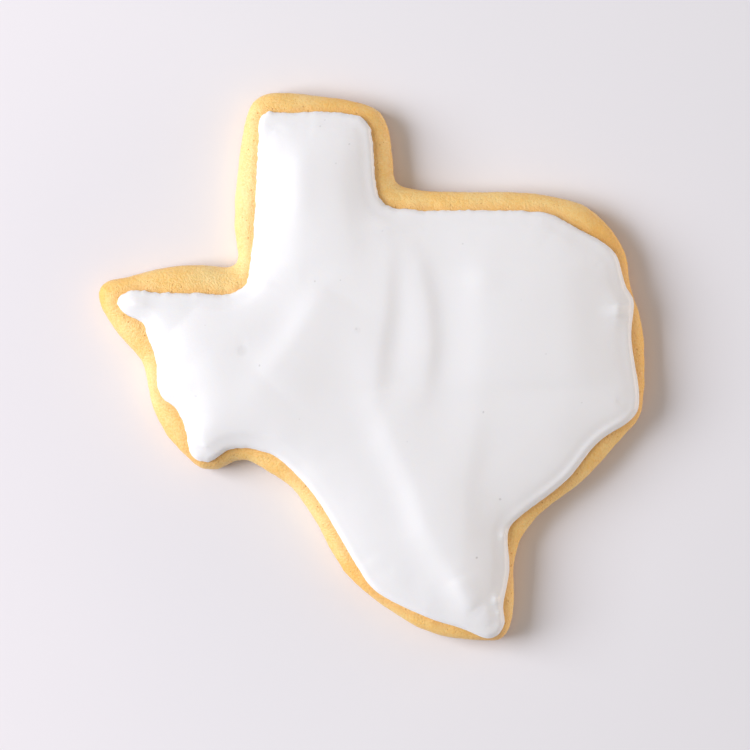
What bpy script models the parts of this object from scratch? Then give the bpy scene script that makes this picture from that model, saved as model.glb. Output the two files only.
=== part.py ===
"""Iced sugar cookie, cut in the outline of Texas: a baked biscuit under one poured layer of icing.

Sizes here are in millimetres, and MM turns them into metres where a mesh is made. +X is east on the
outline, +Y is north and +Z is up. The biscuit's flat underside lies on Z = 0, under the middle of
its outline.
"""

import math

import bmesh
import bpy
import numpy as np
from mathutils import Vector
from mathutils.geometry import delaunay_2d_cdt

MM = 0.001

# The biscuit: a slab with a small foot radius and a baked round along its top edge, lower than it
# is wide, from which the top still rises gently towards the middle
THICKNESS = 7.6
FOOT_ROUND = 0.9
CROWN_WIDTH = 3.8
CROWN_DROP = 2.3
MIDDLE_RISE = 1.1
MIDDLE_REACH = 20.0
SIDE_TOP = THICKNESS - MIDDLE_RISE - CROWN_DROP

# The icing: a round lip along its edge, then a rise over DOME_REACH to its nearly flat middle. Its
# underside follows the biscuit's edge round down to DRAPE_DEPTH, its top only to LEVEL_DEPTH
GAP = 0.3
LIP_HEIGHT = 1.0
LIP_ROUND = 0.8
DOME_RISE = 1.0
DOME_REACH = 10.0
DRAPE_DEPTH = 0.6
LEVEL_DEPTH = 2.4

# How far apart the points of the meshes lie
OUTLINE_STEP = 1.75
BISCUIT_GRID = 6.0
ICING_GRID = 2.8
ICING_BASE_GRID = 6.0

# The cutter's outline as the biscuit baked, clockwise, one stretch to a group
BISCUIT_OUTLINE = (
    # the panhandle's west side, top and east side
    (-24.8, 25.5), (-24.2, 36.0), (-22.8, 44.8), (-21.6, 47.9), (-18.8, 49.6),
    (-12.0, 49.5), (0.4, 47.1), (2.5, 44.9), (3.9, 37.0), (4.4, 33.4),
    # the long north edge, turning into the east side
    (8.0, 32.2), (17.0, 31.8), (27.5, 31.6), (33.4, 30.9), (39.1, 29.1),
    (43.4, 25.2), (46.2, 20.5), (47.1, 14.5), (48.9, 9.0), (49.7, 2.7), (48.8, -9.0), (46.5, -11.7),
    # the coast, down to the southern tip
    (38.9, -20.2), (29.6, -27.7), (26.8, -32.0), (25.8, -36.5),
    (25.9, -43.5), (25.1, -47.5), (23.2, -49.6), (20.0, -49.7),
    # the river side, up past the bend
    (14.7, -49.2), (9.0, -47.5), (-0.9, -41.1), (-5.1, -36.9), (-10.9, -26.7), (-14.5, -21.9),
    (-19.5, -18.5), (-22.4, -16.9), (-25.2, -17.1), (-28.0, -18.6), (-30.6, -18.5),
    # the west side, the western tip and the shoulder below the panhandle
    (-36.9, -12.8), (-39.6, -7.5), (-41.8, 1.2), (-45.6, 5.6), (-49.5, 12.2), (-49.0, 14.8),
    (-42.6, 16.7), (-36.8, 18.1), (-31.0, 18.5), (-25.0, 18.2), (-24.2, 19.4),
)

# Where the icing stopped flowing, clockwise: it wanders more than the cutter's line
ICING_OUTLINE = (
    # the panhandle
    (-21.7, 21.0), (-20.7, 37.0), (-20.4, 41.5), (-20.3, 45.2), (-18.9, 46.3), (-15.0, 45.9),
    (-11.5, 46.3), (-1.7, 45.2), (-0.1, 43.4), (0.4, 39.5), (1.2, 31.2), (2.5, 29.2), (5.0, 28.7),
    # the north edge and the east side
    (9.0, 28.4), (32.3, 27.7), (36.5, 25.5), (41.8, 22.7), (44.3, 20.5), (46.2, 14.5),
    (47.6, 12.4), (47.1, 5.5), (48.6, -5.0), (48.3, -8.1), (46.2, -10.4),
    # the coast, down to the southern tip
    (42.9, -12.3), (40.4, -14.4), (35.4, -20.6), (26.8, -27.3), (24.9, -29.4),
    (25.1, -36.8), (23.9, -43.6), (24.3, -46.4), (23.3, -48.6), (21.4, -49.4),
    # the river side, up past the bend
    (16.3, -47.4), (10.8, -45.7), (0.5, -40.5), (-2.1, -37.0), (-10.1, -23.7), (-14.1, -19.1),
    (-18.3, -15.8), (-25.4, -14.9), (-29.4, -17.4), (-31.7, -17.0),
    # the west side and the western tip
    (-33.3, -14.8), (-33.5, -12.0), (-35.4, -7.6), (-37.6, -6.0), (-38.7, -4.0), (-38.9, 0.8),
    (-40.5, 5.5), (-41.0, 7.4), (-45.5, 10.3), (-46.3, 11.8), (-45.2, 13.2), (-42.9, 14.0),
    (-39.6, 13.5), (-32.0, 13.4), (-25.2, 13.3), (-23.0, 14.6),
)

# Low swells that the icing set with: south end, north end, spread west, spread east and height
ICING_WAVES = (
    # the panhandle, and the shoulder on the west side
    ((-12.7, 14.0), (-12.2, 42.0), 5.0, 10.0, 0.50),
    ((-28.5, -13.0), (-32.0, 8.0), 7.0, 20.0, 0.60),
    ((-14.5, 3.0), (-7.0, 12.5), 4.0, 8.0, 0.50),
    # the middle and the east side
    ((1.0, -2.0), (2.0, 18.0), 5.0, 2.5, 0.35),
    ((9.5, -2.0), (9.0, 17.0), 3.5, 2.3, 0.30),
    ((22.0, -2.0), (21.0, 20.0), 5.5, 9.0, 0.35),
    ((34.0, -6.0), (34.0, 19.0), 15.0, 8.0, 0.80),
    # the long ridge to the southern tip
    ((18.5, -42.0), (11.5, -30.0), 4.5, 6.0, 0.35),
    ((11.5, -30.0), (2.0, -6.0), 4.5, 9.0, 0.60),
    ((17.0, -44.0), (17.5, -20.0), 5.0, 4.5, 0.40),
    ((19.3, -44.5), (19.3, -43.5), 1.6, 1.6, -0.20),
)


def smooth_loop(landmarks, step):
    """Points every step or so along a closed centripetal Catmull-Rom curve through the landmarks."""
    points = [Vector(landmark) for landmark in landmarks]
    count = len(points)
    loop = []
    for index in range(count):
        before, start, end, after = (points[(index + shift) % count] for shift in (-1, 0, 1, 2))
        knot_1 = (start - before).length ** 0.5
        knot_2 = knot_1 + (end - start).length ** 0.5
        knot_3 = knot_2 + (after - end).length ** 0.5
        pieces = max(1, round((end - start).length / step))
        for piece in range(pieces):
            knot = knot_1 + (knot_2 - knot_1) * piece / pieces
            first = before.lerp(start, knot / knot_1)
            middle = start.lerp(end, (knot - knot_1) / (knot_2 - knot_1))
            last = end.lerp(after, (knot - knot_2) / (knot_3 - knot_2))
            lower = first.lerp(middle, knot / knot_2)
            upper = middle.lerp(last, (knot - knot_1) / (knot_3 - knot_1))
            loop.append(lower.lerp(upper, (knot - knot_1) / (knot_2 - knot_1)))
    # Counter-clockwise, so that a face over the loop points up
    return np.array([tuple(point) for point in reversed(loop)])


def inset_loop(loop, inset):
    """The loop with each point moved inwards, square to the line between its neighbours."""
    along = np.roll(loop, -1, axis=0) - np.roll(loop, 1, axis=0)
    inwards = np.stack([-along[:, 1], along[:, 0]], axis=1)
    return loop + inset * inwards / np.linalg.norm(inwards, axis=1)[:, None]


def depth_inside(points, loop):
    """How far each point lies inside the loop, or a negative distance where it lies outside."""
    points = np.atleast_2d(points)
    side = np.roll(loop, -1, axis=0) - loop
    offset = points[:, None] - loop
    share = np.clip((offset * side).sum(axis=2) / (side**2).sum(axis=1), 0.0, 1.0)
    distance = np.linalg.norm(offset - share[..., None] * side, axis=2).min(axis=1)
    above = points[:, None, 1] > loop[:, 1]
    next_above = points[:, None, 1] > np.roll(loop, -1, axis=0)[:, 1]
    turn = side[:, 0] * offset[..., 1] - side[:, 1] * offset[..., 0]
    crossed = (above & ~next_above & (turn < 0)) | (~above & next_above & (turn > 0))
    return np.where(crossed.sum(axis=1) % 2 == 1, distance, -distance)


def loose_points(loop, insets, grid):
    """Points on inset loops, and on a staggered grid inside the innermost of them."""
    found = []
    for inset in insets:
        ring = inset_loop(loop, inset)
        found.append(ring[depth_inside(ring, loop) > 0.9 * inset])
    low = loop.min(axis=0)
    high = loop.max(axis=0)
    row_height = grid * math.sqrt(0.75)
    grid_points = [
        (low[0] + grid * (column + 0.5 * (row % 2)), low[1] + row_height * row)
        for row in range(int((high[1] - low[1]) / row_height) + 1)
        for column in range(int((high[0] - low[0]) / grid) + 1)
    ]
    inside = np.array(grid_points)
    found.append(inside[depth_inside(inside, loop) > insets[-1] + 0.6 * grid])
    return np.concatenate(found)


def add_cap(bm, border, free_points, height, facing_up):
    """Close the border's vertices with a triangulated skin through the free points."""
    rim = np.array([(vert.co.x / MM, vert.co.y / MM) for vert in border])
    points = np.concatenate([rim, free_points])
    verts = list(border)
    for (x, y), z in zip(free_points, height(free_points)):
        verts.append(bm.verts.new((x * MM, y * MM, z * MM)))
    rim_edges = [(index, (index + 1) % len(rim)) for index in range(len(rim))]
    flat_points = [Vector(point) for point in points]
    _, _, triangles, _, _, _ = delaunay_2d_cdt(flat_points, rim_edges, [], 1, 1e-5, False)
    triangles = np.array(triangles)
    # The triangulation also fills the bays of the outline, which are left open
    kept = triangles[depth_inside(points[triangles].mean(axis=1), rim) > 0]
    for triangle in kept:
        corners = [verts[corner] for corner in triangle]
        bm.faces.new(corners if facing_up else reversed(corners))


def layer(name, rings, top, bottom, material):
    """A closed body: walls through the rings from the lowest up, then its top and bottom skins."""
    bm = bmesh.new()
    ring_verts = [[bm.verts.new(Vector(point) * MM) for point in ring] for ring in rings]
    for lower, upper in zip(ring_verts, ring_verts[1:]):
        for index, vert in enumerate(lower):
            following = (index + 1) % len(lower)
            bm.faces.new((vert, lower[following], upper[following], upper[index]))
    add_cap(bm, ring_verts[-1], *top, True)
    add_cap(bm, ring_verts[0], *bottom, False)
    mesh = bpy.data.meshes.new(name)
    bm.to_mesh(mesh)
    bm.free()
    mesh.shade_smooth()
    mesh.set_sharp_from_angle(angle=math.radians(60))
    mesh.materials.append(material)
    body = bpy.data.objects.new(name, mesh)
    bpy.context.collection.objects.link(body)
    return body


def food_material(name, colour, roughness):
    material = bpy.data.materials.new(name)
    material.use_nodes = True
    shader = material.node_tree.nodes["Principled BSDF"]
    shader.inputs["Base Color"].default_value = (*colour, 1.0)
    shader.inputs["Roughness"].default_value = roughness
    shader.inputs["Metallic"].default_value = 0.0
    return material


def at_height(loop, height):
    """The loop's points with one height, or with a height each."""
    return np.column_stack([loop, np.broadcast_to(height, len(loop))])


def crown_height(depth):
    """The height of the biscuit's top this far inside its outline."""
    run = 1 - np.clip(depth / CROWN_WIDTH, 0.0, 1.0)
    middle = 1 - np.clip(depth / MIDDLE_REACH, 0.0, 1.0)
    return SIDE_TOP + CROWN_DROP * np.sqrt(1 - run**2) + MIDDLE_RISE * (1 - middle**2)


def wave_height(points, wave):
    """A long low swell along a line, with its own spread to either side."""
    south, north, west_spread, east_spread, rise = wave
    run = np.subtract(north, south)
    offset = points - south
    share = np.clip(offset @ run / (run @ run), 0.0, 1.0)
    away = offset - share[:, None] * run
    distance = np.maximum(np.linalg.norm(away, axis=1), 0.001)
    east = 0.5 + 0.5 * (away[:, 0] * run[1] - away[:, 1] * run[0]) / (math.hypot(*run) * distance)
    spread = west_spread + (east_spread - west_spread) * east**2 * (3 - 2 * east)
    return rise * np.exp(-((distance / spread) ** 2))


def make_biscuit(outline):
    foot_angles = (0, 45, 90)
    rings = [
        at_height(
            inset_loop(outline, FOOT_ROUND * (1 - math.sin(math.radians(angle)))),
            FOOT_ROUND * (1 - math.cos(math.radians(angle))),
        )
        for angle in foot_angles
    ]
    rings.append(at_height(outline, SIDE_TOP))
    crown_insets = [CROWN_WIDTH * (1 - math.cos(math.radians(angle))) for angle in (22, 45, 67, 90)]
    top = (
        loose_points(outline, crown_insets, BISCUIT_GRID),
        lambda points: crown_height(depth_inside(points, outline)),
    )
    bottom = (
        loose_points(outline, (CROWN_WIDTH,), 2 * BISCUIT_GRID),
        lambda points: np.zeros(len(points)),
    )
    material = food_material("biscuit", (0.80, 0.53, 0.24), 0.85)
    return layer("biscuit", rings, top, bottom, material)


def make_icing(outline, biscuit_outline):
    def underside(points):
        """A gap above the biscuit, measured square to its edge round, down to the drape depth."""
        depth = np.maximum(depth_inside(points, biscuit_outline), DRAPE_DEPTH)
        run = 1 - np.clip(depth / CROWN_WIDTH, 0.0, 1.0)
        slope = CROWN_DROP / CROWN_WIDTH * run / np.sqrt(1 - run**2)
        return crown_height(depth) + GAP * np.sqrt(1 + slope**2)

    def surface(points):
        """The poured top: the edge lip, the dome behind it, and the waves away from the edge."""
        level = crown_height(np.maximum(depth_inside(points, biscuit_outline), LEVEL_DEPTH)) + GAP
        depth = depth_inside(points, outline)
        lip = LIP_HEIGHT * np.sqrt(1 - (1 - np.clip(depth / LIP_ROUND, 0.0, 1.0)) ** 2)
        dome = DOME_RISE * (1 - (1 - np.clip(depth / DOME_REACH, 0.0, 1.0)) ** 2)
        swell = sum(wave_height(points, wave) for wave in ICING_WAVES)
        return level + lip + dome + swell * np.clip(depth / 3.0, 0.0, 1.0)

    edge = inset_loop(outline, 0.25)
    base = underside(edge)
    rings = [at_height(edge, base), at_height(outline, base + 0.35 * LIP_HEIGHT)]
    top_insets = (0.2 * LIP_ROUND, 0.6 * LIP_ROUND, 1.3 * LIP_ROUND, 2.6, 4.4)
    top = (loose_points(outline, top_insets, ICING_GRID), surface)
    bottom = (loose_points(outline, (1.2, 2.3, 3.6), ICING_BASE_GRID), underside)
    material = food_material("icing", (0.86, 0.85, 0.87), 0.4)
    return layer("icing", rings, top, bottom, material)


for old in list(bpy.data.objects):
    bpy.data.objects.remove(old)

cutter_line = smooth_loop(BISCUIT_OUTLINE, OUTLINE_STEP)
make_biscuit(cutter_line)
make_icing(smooth_loop(ICING_OUTLINE, OUTLINE_STEP), cutter_line)
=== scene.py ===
"""Iced sugar cookie: the baked biscuit, its poured icing, and the table and light around them."""

import math

import bpy
import numpy as np
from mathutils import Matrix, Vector, kdtree, noise
from mathutils.bvhtree import BVHTree


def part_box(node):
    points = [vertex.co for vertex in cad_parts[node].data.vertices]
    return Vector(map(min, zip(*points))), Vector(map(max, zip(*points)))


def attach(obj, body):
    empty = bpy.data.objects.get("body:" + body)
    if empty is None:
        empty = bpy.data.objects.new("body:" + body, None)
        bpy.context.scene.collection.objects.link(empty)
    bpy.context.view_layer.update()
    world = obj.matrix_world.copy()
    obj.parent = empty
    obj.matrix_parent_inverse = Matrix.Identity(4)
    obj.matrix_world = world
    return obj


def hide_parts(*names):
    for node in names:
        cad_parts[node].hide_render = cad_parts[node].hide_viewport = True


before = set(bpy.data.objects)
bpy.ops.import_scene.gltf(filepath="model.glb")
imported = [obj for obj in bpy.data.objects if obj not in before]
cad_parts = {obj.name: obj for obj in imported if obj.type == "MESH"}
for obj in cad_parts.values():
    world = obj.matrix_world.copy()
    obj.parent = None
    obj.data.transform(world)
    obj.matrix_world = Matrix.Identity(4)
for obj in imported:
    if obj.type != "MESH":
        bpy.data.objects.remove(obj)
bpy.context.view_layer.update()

# ---------------------------------------------------------------------------------------------
# The biscuit: rolled dough cut in the outline of Texas and baked until pale gold. Its top edge
# baked round, its sides are dry and sandy, and its flat underside browned on the tray.

MM = 0.001
BISCUIT_FACE = 0.5 * MM
LUMPS = (
    ("slow swells", 9.0 * MM, 0.25 * MM),
    ("dough lumps", 2.6 * MM, 0.22 * MM),
    ("coarse crumb", 0.9 * MM, 0.10 * MM),
)


def copy_of(node, name):
    """A new piece with the CAD node's mesh, its loose triangles merged, selected and active."""
    bpy.ops.object.select_all(action="DESELECT")
    piece = bpy.data.objects.new(name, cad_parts[node].data.copy())
    bpy.context.collection.objects.link(piece)
    piece.data.materials.clear()
    piece.select_set(True)
    bpy.context.view_layer.objects.active = piece
    bpy.ops.object.mode_set(mode="EDIT")
    bpy.ops.mesh.select_all(action="SELECT")
    bpy.ops.mesh.remove_doubles(threshold=0.01 * MM)
    bpy.ops.object.mode_set(mode="OBJECT")
    return piece


def apply_modifier(piece, kind, **settings):
    modifier = piece.modifiers.new(kind.title(), kind)
    for setting, value in settings.items():
        setattr(modifier, setting, value)
    bpy.ops.object.modifier_apply(modifier=modifier.name)


def points_of(piece):
    """The piece's vertices as rows of X, Y and Z."""
    flat = np.empty(len(piece.data.vertices) * 3, np.float32)
    piece.data.vertices.foreach_get("co", flat)
    return flat.reshape(-1, 3).astype(float)


def move_points(piece, points):
    piece.data.vertices.foreach_set("co", points.astype(np.float32).ravel())
    piece.data.update()


def outline_edges(mesh):
    """The edges where a face that looks up meets one that looks down."""
    looks_up = {}
    for face in mesh.polygons:
        for edge in face.edge_keys:
            looks_up.setdefault(edge, []).append(face.normal.z > 0)
    return np.array([edge for edge, sides in looks_up.items() if sides[0] != sides[-1]])


def distances_to(ends, points):
    """How far each point lies, seen from above, from the edges with these ends."""
    tree = kdtree.KDTree(len(ends) * 5)
    for index, (start_point, end_point) in enumerate(ends[:, :, :2]):
        for part in range(5):
            x, y = start_point + (end_point - start_point) * part / 5
            tree.insert((x, y, 0.0), 5 * index + part)
    tree.balance()
    return np.array([tree.find((x, y, 0.0))[2] for x, y, _ in points])


biscuit = copy_of("biscuit", "baked_biscuit")
apply_modifier(biscuit, "REMESH", mode="VOXEL", voxel_size=BISCUIT_FACE)
apply_modifier(biscuit, "SMOOTH", factor=0.5, iterations=6)

# The lumps fade out towards the foot, so that the underside stays flat on the table
above_foot = biscuit.vertex_groups.new(name="above foot")
for vertex in biscuit.data.vertices:
    above_foot.add([vertex.index], min(1.0, max(0.0, vertex.co.z / MM - 0.3)), "REPLACE")
for lump_name, size, height in LUMPS:
    texture = bpy.data.textures.new(lump_name, "CLOUDS")
    texture.noise_scale = size
    texture.noise_depth = 1
    apply_modifier(
        biscuit, "DISPLACE", texture=texture, texture_coords="LOCAL", strength=height,
        mid_level=0.5, vertex_group="above foot",
    )
biscuit.data.shade_smooth()

# The crumb beside the icing is darker: partly moisture it took up from the icing, partly painted shade where
# the icing's edge shades it
icing_edge = copy_of("icing", "edge of the icing")
icing_mesh = icing_edge.data
edge_ends = points_of(icing_edge)[outline_edges(icing_mesh)]
bpy.data.objects.remove(icing_edge)
bpy.data.meshes.remove(icing_mesh)
from_icing = biscuit.data.attributes.new("from icing", "FLOAT", "POINT")
from_icing.data.foreach_set("value", distances_to(edge_ends, points_of(biscuit)) / MM)


class Shade:
    """One output of a material's nodes. Arithmetic on it adds Math nodes."""

    def __init__(self, tree, socket=None):
        self.tree = tree
        self.socket = socket

    def node(self, kind, settings=None, inputs=None, output=0):
        """Any other node: its settings go in first, then the values or links of its sockets."""
        made = self.tree.nodes.new(kind)
        for setting, value in (settings or {}).items():
            setattr(made, setting, value)
        for name, value in (inputs or {}).items():
            if isinstance(value, Shade):
                self.tree.links.new(value.socket, made.inputs[name])
            else:
                made.inputs[name].default_value = value
        return Shade(self.tree, made.outputs[output])

    def math(self, operation, *others):
        inputs = dict(enumerate((self, *others)))
        return self.node("ShaderNodeMath", {"operation": operation}, inputs)

    def __add__(self, other):
        return self.math("ADD", other)

    def __sub__(self, other):
        return self.math("SUBTRACT", other)

    def __rsub__(self, other):
        return self.math("MULTIPLY_ADD", -1.0, other)

    def __mul__(self, other):
        return self.math("MULTIPLY", other)

    __radd__ = __add__
    __rmul__ = __mul__

    def between(self, low, high):
        """0 at low, 1 at high, eased in between."""
        settings = {"interpolation_type": "SMOOTHSTEP"}
        return self.node("ShaderNodeMapRange", settings, {0: self, 1: low, 2: high})

    def mix(self, first, second):
        """The colour that goes from first to second as this value goes from 0 to 1."""
        inputs = {0: self, 6: first, 7: second}
        return self.node("ShaderNodeMix", {"data_type": "RGBA"}, inputs, 2)

    def noise(self, size, detail=2.0, roughness=0.5):
        """Cloudy noise of this size, read at this place."""
        inputs = {"Vector": self, "Scale": 1 / size, "Detail": detail, "Roughness": roughness}
        return self.node("ShaderNodeTexNoise", {}, inputs)

    def along(self, axis):
        """This place's X, Y or Z."""
        return self.node("ShaderNodeSeparateXYZ", {}, {"Vector": self}, axis)

    def distance_to(self, spot):
        """How far this place lies from a fixed spot."""
        return self.node("ShaderNodeVectorMath", {"operation": "DISTANCE"}, {0: self, 1: spot}, "Value")


def new_finish(name, **constants):
    """A Principled material: its constant sockets, and a Shade to build the rest from."""
    material = bpy.data.materials.new(name)
    material.use_nodes = True
    shader = material.node_tree.nodes["Principled BSDF"]
    for socket, value in constants.items():
        shader.inputs[socket.replace("_", " ")].default_value = value
    return material, shader, Shade(material.node_tree)


def link(shade, shader, socket):
    shade.tree.links.new(shade.socket, shader.inputs[socket])


# Baked crumb: pale gold with deeper flecks, browner low on the side and underneath, and darker by the icing
# with moisture and painted shade
CRUST_PALE = (0.97, 0.72, 0.31, 1.0)
CRUST_GOLD = (0.93, 0.525, 0.12, 1.0)
# The crumb by the icing: partly moist, partly painted shade
CRUST_MOIST_AND_SHADED = (0.80, 0.40, 0.11, 1.0)
CRUST_BROWN = (0.72, 0.38, 0.13, 1.0)
FLECK = (0.62, 0.28, 0.06, 1.0)
RIM_LEVEL = 3.0 * MM
# Places where the crust is made browner, or paler where the strength is negative: place, reach (in
# millimetres) and strength
CRUST_TONE_PLACES = (
    (44.5, 22.0, 14.0, 0.75), (49.5, 2.0, 14.0, 0.60), (3.0, 40.0, 9.0, 0.30), (-4.0, 48.5, 9.0, 0.45),
    (-4.0, -39.0, 9.0, 0.50), (-49.0, 13.0, 9.0, 0.50), (-37.0, -12.5, 7.0, 0.35),
    (-24.5, 33.0, 14.0, -0.50), (-12.0, -26.5, 9.0, -0.45), (-26.0, 17.5, 9.0, -0.50),
    (-40.0, -2.0, 8.0, -0.45),
)

crust, crust_shader, start = new_finish("baked crust", Roughness=0.46, IOR=1.6, Subsurface_Weight=0.1)
crust_shader.inputs["Subsurface Radius"].default_value = (1.0, 0.45, 0.2)
crust_shader.inputs["Subsurface Scale"].default_value = 0.8 * MM
place = start.node("ShaderNodeTexCoord", output="Object")
patches = place.noise(5 * MM, 3.0)
grains = place.noise(0.42 * MM, 2.5, 0.7)
crust_tone = patches.between(0.35, 0.65) * 0.3 + grains.between(0.40, 0.64) * 0.35
crust_tone = crust_tone + 0.26 - place.along("Y").between(-45 * MM, 45 * MM) * 0.1
for x, y, reach, strength in CRUST_TONE_PLACES:
    away = place.distance_to((x * MM, y * MM, RIM_LEVEL))
    crust_tone = crust_tone + strength - strength * away.between(0.0, reach * MM)
colour = crust_tone.mix(CRUST_PALE, CRUST_GOLD)
browned = 1 - place.along("Z").between(0.1 * MM, 1.8 * MM)
colour = browned.mix(colour, CRUST_BROWN)
from_edge = start.node("ShaderNodeAttribute", {"attribute_name": "from icing"}, output="Fac")
# Painted shade and moisture: the crumb is darkened within a few millimetres of the icing's edge
moist_and_shade = 1 - (from_edge + patches * 2.0).between(0.9, 2.6)
colour = (moist_and_shade * 0.55).mix(colour, CRUST_MOIST_AND_SHADED)
pores = place.node("ShaderNodeTexVoronoi", {}, {"Vector": place, "Scale": 1 / (1.3 * MM)})
flecks = 1 - (pores + from_edge.between(0.3, 3.0) * 0.08).between(0.08, 0.17)
colour = (flecks * 0.6).mix(colour, FLECK)
link(colour, crust_shader, "Base Color")
relief = grains + place.noise(0.22 * MM, 2.0) * 0.4 - flecks * 0.3
bump = start.node("ShaderNodeBump", inputs={"Strength": 1.0, "Distance": 0.20 * MM, "Height": relief})
link(bump, crust_shader, "Normal")
biscuit.data.materials.append(crust)

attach(biscuit, "root")
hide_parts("biscuit")

# ---------------------------------------------------------------------------------------------
# The icing: sugar icing poured on the cooled biscuit and pushed out to its edge. It set with a
# round bead where it stopped, a domed border behind the bead, and low waves from the spreading.

ICING_CUTS = 3
SINK = 0.2 * MM
LIP_HEIGHT = 1.0 * MM
LIP_ROUND = 0.8 * MM
LIP_STEEP_SHARE = 0.25
DOME_RISE = 1.0 * MM
DOME_REACH = 10.0 * MM
DEEPEST = 2.4 * MM
LEVELLING = 80
RAGGED = 0.22 * MM
RAGGED_SEED = 4
SWELL_START = 3.0 * MM
SOFT_CORE = 0.2 * MM
WELL_ABOVE = 50.0 * MM
# The coast's edge is smoother than the rest, with a fine bead and a groove behind it
BEAD_HEIGHT = 0.10 * MM
BEAD_DEPTH = 1.0 * MM
BEAD_WIDTH = 0.4 * MM
GROOVE_SHARE = 0.8
GROOVE_DEPTH = 1.9 * MM
GROOVE_WIDTH = 0.6 * MM
BEAD_ELSEWHERE = 0.15
COAST = (((30.0, -24.5), (37.0, -18.5), (42.0, -13.0), (47.5, -9.5)), 4.0, 4.0, 1.0)
# The low waves: each has a path, its spread to the west and to the east, and its height, in
# millimetres. One with a negative height is a hollow
WAVES = (
    # the panhandle
    (((-12.7, 14.0), (-12.2, 42.0)), 4.5, 9.0, 0.36),
    (((-4.6, 18.5), (-6.0, 30.0), (-5.8, 44.0)), 8.0, 3.8, 0.42),
    (((-12.8, 27.0), (-12.6, 39.0)), 2.5, 2.5, 0.22),
    (((-17.6, 42.8), (-17.0, 44.0)), 1.3, 1.3, -0.14),
    (((3.0, 24.0), (2.6, 27.5)), 3.0, 6.0, 0.28),
    # the west side and the western tip
    (((-28.0, -14.0), (-26.0, -5.0), (-28.5, 3.0), (-34.0, 8.5)), 7.0, 17.0, 0.82),
    (((-19.0, -2.5), (-13.5, 4.0), (-7.5, 14.0)), 3.6, 9.0, 0.80),
    (((-24.0, 3.3), (-22.6, 3.3)), 1.5, 1.5, -0.10),
    (((-43.0, 10.5), (-42.5, 13.0)), 2.0, 2.2, 0.50),
    # the middle and the east side
    (((0.4, -4.0), (0.9, 3.0), (2.1, 10.0), (2.6, 20.0)), 6.5, 2.2, 0.60),
    (((9.2, -4.0), (10.2, 4.0), (9.7, 11.0), (7.8, 19.5)), 4.5, 2.1, 0.56),
    (((20.5, -6.0), (21.2, 6.0), (20.5, 20.0)), 5.0, 10.0, 0.50),
    (((20.5, 14.0), (20.5, 18.0)), 3.0, 3.0, 0.20),
    (((34.5, -4.0), (34.0, 19.0)), 18.0, 7.0, 0.86),
    (((45.2, 9.0), (45.0, 11.5)), 2.2, 1.8, 0.70),
    # the river side
    (((-8.0, -14.0), (-1.0, -24.0), (6.0, -35.0)), 6.0, 6.0, -0.12),
    # the long ridge to the southern tip
    (((18.5, -43.0), (13.8, -34.0), (10.8, -29.0), (8.5, -21.0), (4.5, -13.0), (1.6, -4.0)), 3.8, 9.0, 0.80),
    (((18.6, -43.8), (15.7, -38.0)), 1.9, 2.4, 0.46),
    (((16.3, -34.0), (16.2, -22.0), (18.6, -8.0)), 6.0, 3.0, 0.40),
    (((18.8, -43.0), (19.2, -31.0)), 5.0, 4.0, 0.22),
    (((23.0, -43.0), (22.7, -41.6)), 0.8, 1.0, 1.15),
    (((23.4, -44.7), (23.3, -44.2)), 0.5, 0.6, 1.10),
    (((23.9, -47.8), (23.7, -47.0)), 0.7, 0.8, 1.40),
    (((24.2, -31.0), (24.0, -30.0)), 0.6, 0.7, 1.20),
    (((19.8, -45.2), (18.0, -43.8)), 2.2, 2.2, -0.14),
)


def wave_height(points, wave):
    """A low swell along a path. It fades towards both ends of the path."""
    path, west_spread, east_spread, rise = wave
    path = np.array(path) * MM
    runs = path[1:] - path[:-1]
    lengths = np.linalg.norm(runs, axis=1)
    nearest = np.full(len(points), np.inf)
    height = np.zeros(len(points))
    for part, (start_point, run, length) in enumerate(zip(path, runs, lengths)):
        share = np.clip((points - start_point) @ run / length**2, 0.0, 1.0)
        away = points - start_point - share[:, None] * run
        distance = np.maximum(np.linalg.norm(away, axis=1), 0.001 * MM)
        east = 0.5 + 0.5 * (away[:, 0] * run[1] - away[:, 1] * run[0]) / (length * distance)
        spread = (west_spread + (east_spread - west_spread) * east**2 * (3 - 2 * east)) * MM
        along = (lengths[:part].sum() + share * length) / lengths.sum()
        fade = 1 - 0.6 * (2 * along - 1) ** 4
        closer = distance < nearest
        height[closer] = (rise * MM * fade * np.exp(-((distance / spread) ** 2)))[closer]
        nearest[closer] = distance[closer]
    return height


icing = copy_of("icing", "poured_icing")
bpy.ops.object.mode_set(mode="EDIT")
bpy.ops.mesh.select_all(action="SELECT")
bpy.ops.mesh.subdivide(number_cuts=ICING_CUTS, smoothness=0.0)
bpy.ops.object.mode_set(mode="OBJECT")
edges = outline_edges(icing.data)
is_top = np.zeros(len(icing.data.vertices), bool)
for face in icing.data.polygons:
    if face.normal.z > 0:
        is_top[list(face.vertices)] = True
bpy.ops.object.mode_set(mode="EDIT")
bpy.ops.mesh.vertices_smooth(factor=0.5, repeat=5, xaxis=True, yaxis=True, zaxis=False)
bpy.ops.object.mode_set(mode="OBJECT")

# Where it crept over the dry crumb its edge is ragged: less so along the coast
noise.seed_set(RAGGED_SEED)
points = points_of(icing)
for point in points:
    creep = noise.noise_vector(Vector(point) / (0.8 * MM))
    creep += 0.7 * noise.noise_vector(Vector(point) / (2.0 * MM))
    inland = min(1.0, max(0.15, 0.5 + (point[1] - 0.6 * point[0]) / (20 * MM)))
    point[:2] += np.array(creep)[:2] * RAGGED * inland

edge_ends = points[edges]
depth = distances_to(edge_ends, points)

# A smooth measure of how far in a point lies: it has no creases where two edges are as near
soft_depth = np.empty(len(points))
middles = edge_ends.mean(axis=1)[:, :2]
lengths = np.linalg.norm(edge_ends[:, 0, :2] - edge_ends[:, 1, :2], axis=1)
for first in range(0, len(points), 2000):
    chunk = slice(first, first + 2000)
    square = ((points[chunk, None, :2] - middles) ** 2).sum(axis=2) + SOFT_CORE**2
    soft_depth[chunk] = ((2 / math.pi) * (lengths / square**2).sum(axis=1)) ** (-1 / 3)

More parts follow.
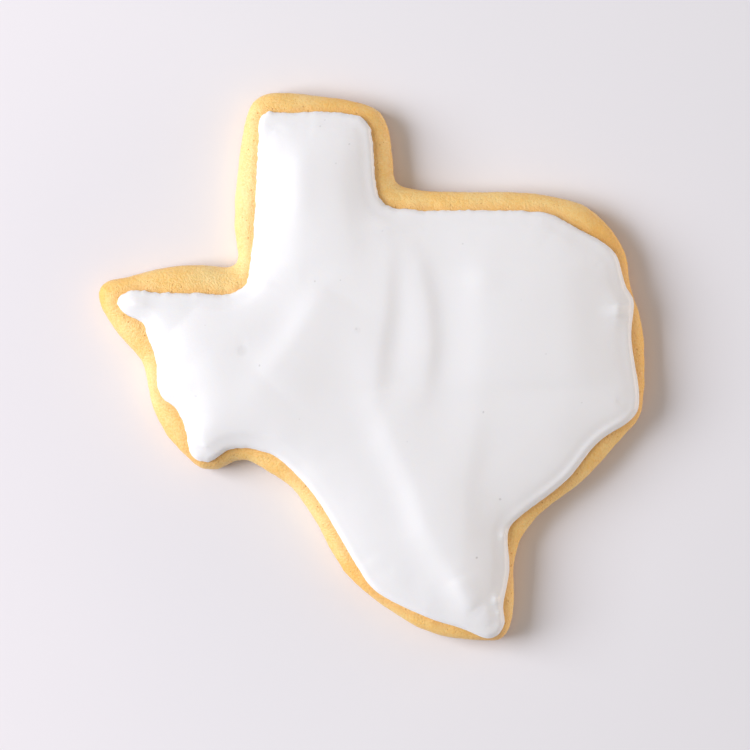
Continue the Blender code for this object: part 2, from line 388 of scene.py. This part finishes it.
# The crumb under every point, then the same heights levelled out, as the icing levelled itself
bpy.context.view_layer.update()
biscuit_tree = BVHTree.FromObject(biscuit, bpy.context.evaluated_depsgraph_get())
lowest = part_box("biscuit")[1].z - DEEPEST
crumb = np.full(len(points), lowest)
for index, (x, y, _) in enumerate(points):
    hit = biscuit_tree.ray_cast(Vector((x, y, WELL_ABOVE)), Vector((0, 0, -1)))[0]
    if hit is not None:
        crumb[index] = max(lowest, hit.z)
sides = np.array([edge.vertices[:] for edge in icing.data.edges])
sides = np.concatenate([sides, sides[:, ::-1]])
neighbours = np.bincount(sides[:, 0], minlength=len(points))
level = crumb.copy()
for _ in range(LEVELLING):
    level = 0.5 * level + 0.5 * np.bincount(sides[:, 0], level[sides[:, 1]], len(points)) / neighbours

lip = LIP_HEIGHT * np.sqrt(1 - (1 - np.clip(depth / LIP_ROUND, 0.0, 1.0)) ** 2)
dome = DOME_RISE * (1 - (1 - np.clip(soft_depth / DOME_REACH, 0.0, 1.0)) ** 2)
lip += LIP_STEEP_SHARE * (LIP_HEIGHT - lip)
swell = sum(wave_height(points[:, :2], wave) for wave in WAVES) * np.clip(depth / SWELL_START, 0.0, 1.0)
coast = BEAD_ELSEWHERE + (1 - BEAD_ELSEWHERE) * wave_height(points[:, :2], COAST) / MM
bead = np.exp(-(((depth - BEAD_DEPTH) / BEAD_WIDTH) ** 2))
groove = GROOVE_SHARE * np.exp(-(((depth - GROOVE_DEPTH) / GROOVE_WIDTH) ** 2))
surface = level + lip + dome + swell + BEAD_HEIGHT * coast * (bead - groove)

# The base and the very edge sit a little way into the crumb, so that no gap shows under the icing
points[:, 2] = np.where(is_top, surface, crumb - SINK)
rim = np.unique(edges)
points[rim, 2] = crumb[rim] - 0.5 * SINK
move_points(icing, points)
icing.data.shade_smooth()

ICING_WHITE = (0.85, 0.85, 0.868, 1.0)
ICING_GREY = (0.83, 0.83, 0.845, 1.0)
SPECK_AND_SHADE_GREY = (0.50, 0.49, 0.50, 1.0)
# Small bubbles and crumbs caught in the icing, and first a wide faint painted shade in the shallow hollow on
# the west side: place, radius (in millimetres) and strength
SPECKS_AND_HOLLOW_SHADE = (
    (-23.3, 2.9, 1.3, 0.14), (-2.5, 6.6, 0.8, 0.10), (-10.2, 15.4, 0.22, 0.4), (-5.6, 15.6, 0.18, 0.4),
    (-2.7, 6.8, 0.30, 0.25), (-20.2, 0.2, 0.25, 0.45),
    (20.2, -8.2, 0.25, 0.5), (23.3, -23.9, 0.30, 0.5), (19.0, -34.5, 0.28, 0.6), (16.5, 22.2, 0.22, 0.4),
    (-8.4, 44.6, 0.18, 0.35), (-9.2, 43.5, 0.2, 0.4), (-4.0, 40.2, 0.22, 0.4), (-6.4, 36.7, 0.22, 0.3),
    (-31.7, -5.3, 0.3, 0.2), (-36.0, -3.1, 0.3, 0.15), (31.5, 2.3, 0.2, 0.3), (2.0, 24.5, 0.2, 0.25),
    (-13.0, -9.5, 0.2, 0.25), (6.5, -13.5, 0.18, 0.3), (38.0, -6.5, 0.18, 0.3), (-30.0, 7.5, 0.16, 0.3),
    (27.0, 12.0, 0.15, 0.3),
)

glaze, glaze_shader, start = new_finish(
    "set icing", Roughness=0.38, IOR=1.48, Subsurface_Weight=0.2, Coat_Weight=0.2, Coat_Roughness=0.2,
)
glaze_shader.inputs["Subsurface Radius"].default_value = (1.0, 0.85, 0.7)
glaze_shader.inputs["Subsurface Scale"].default_value = 0.8 * MM
place = start.node("ShaderNodeTexCoord", output="Object")
clouds = place.noise(14 * MM, 2.0).between(0.35, 0.7)
colour = (clouds * 0.25).mix(ICING_WHITE, ICING_GREY)
level_place = place.node("ShaderNodeVectorMath", {"operation": "MULTIPLY"}, {0: place, 1: (1.0, 1.0, 0.0)})
ragged_place = level_place.node(
    "ShaderNodeVectorMath", {"operation": "ADD"},
    {0: level_place, 1: (place.noise(0.5 * MM) - 0.5) * (0.3 * MM)},
)
# The first entry is painted shade in a hollow; the rest are specks and bubbles
for x, y, radius, strength in SPECKS_AND_HOLLOW_SHADE:
    away = ragged_place.distance_to((x * MM, y * MM, 0.0))
    colour = (strength - strength * away.between(0.4 * radius * MM, radius * MM)).mix(colour, SPECK_AND_SHADE_GREY)
link(colour, glaze_shader, "Base Color")
skin = place.noise(1.6 * MM, 2.0)
bump = start.node("ShaderNodeBump", inputs={"Strength": 0.15, "Distance": 0.05 * MM, "Height": skin})
link(bump, glaze_shader, "Normal")
icing.data.materials.append(glaze)

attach(icing, "root")
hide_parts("icing")

# ---------------------------------------------------------------------------------------------
# The table: a plain pale sheet that the cookie lies on. It is lit by one large soft window on its
# west side, a low warm wall on its east side and a weak warm room all round, and seen from above.

TABLE_SIZE = 3.0
TABLE_WHITE = (0.805, 0.80, 0.84, 1.0)
TABLE_ROSY = (0.825, 0.80, 0.845, 1.0)
ROOM_COLOUR = (1.0, 0.955, 0.92, 1.0)
ROOM_STRENGTH = 0.327
CAMERA_HEIGHT = 0.9
CAMERA_SENSOR = 36.0
VIEW_WIDTH = 136.4 * MM
VIEW_MIDDLE = (0.67 * MM, -1.49 * MM)
VIEW_LEVEL = 3.0 * MM

bpy.ops.mesh.primitive_plane_add(size=TABLE_SIZE, location=(0, 0, 0))
floor = bpy.context.active_object
floor.name = "table"
paper, paper_shader, start = new_finish("table sheet", Roughness=0.9)
place = start.node("ShaderNodeTexCoord", output="Object")
towards_east = place.along("X").between(-80 * MM, 0.0)
tone = (place.noise(40 * MM, 2.0) * 0.2 + towards_east * 0.8).mix(TABLE_ROSY, TABLE_WHITE)
link(tone, paper_shader, "Base Color")
floor.data.materials.append(paper)


def soft_light(name, around, height_angle, distance, width, tall, power, colour):
    """A light panel that faces the cookie. Its angles are in degrees, the first one from the east."""
    around = math.radians(around)
    height_angle = math.radians(height_angle)
    out = distance * math.cos(height_angle)
    spot = Vector((out * math.cos(around), out * math.sin(around), distance * math.sin(height_angle)))
    bpy.ops.object.light_add(type="AREA", location=spot, rotation=spot.to_track_quat("Z", "Y").to_euler())
    light = bpy.context.active_object
    light.name = name
    light.data.shape = "RECTANGLE"
    light.data.size = width
    light.data.size_y = tall
    light.data.energy = power
    light.data.color = colour


soft_light(
    "window", around=174.5, height_angle=37.0, distance=1.0, width=0.69, tall=0.69,
    power=13.0, colour=(0.923, 0.918, 0.947),
)
soft_light(
    "room wall", around=5.0, height_angle=6.5, distance=1.0, width=1.0, tall=0.2,
    power=4.8, colour=(1.0, 0.855, 0.74),
)

world = bpy.data.worlds.new("room")
bpy.context.scene.world = world
world.use_nodes = True
background = world.node_tree.nodes["Background"]
background.inputs["Color"].default_value = ROOM_COLOUR
background.inputs["Strength"].default_value = ROOM_STRENGTH

bpy.ops.object.camera_add(location=(*VIEW_MIDDLE, CAMERA_HEIGHT), rotation=(0, 0, 0))
camera = bpy.context.active_object
camera.data.sensor_width = CAMERA_SENSOR
camera.data.lens = CAMERA_SENSOR * (CAMERA_HEIGHT - VIEW_LEVEL) / VIEW_WIDTH
bpy.context.scene.camera = camera
bpy.context.scene.view_settings.view_transform = "Standard"
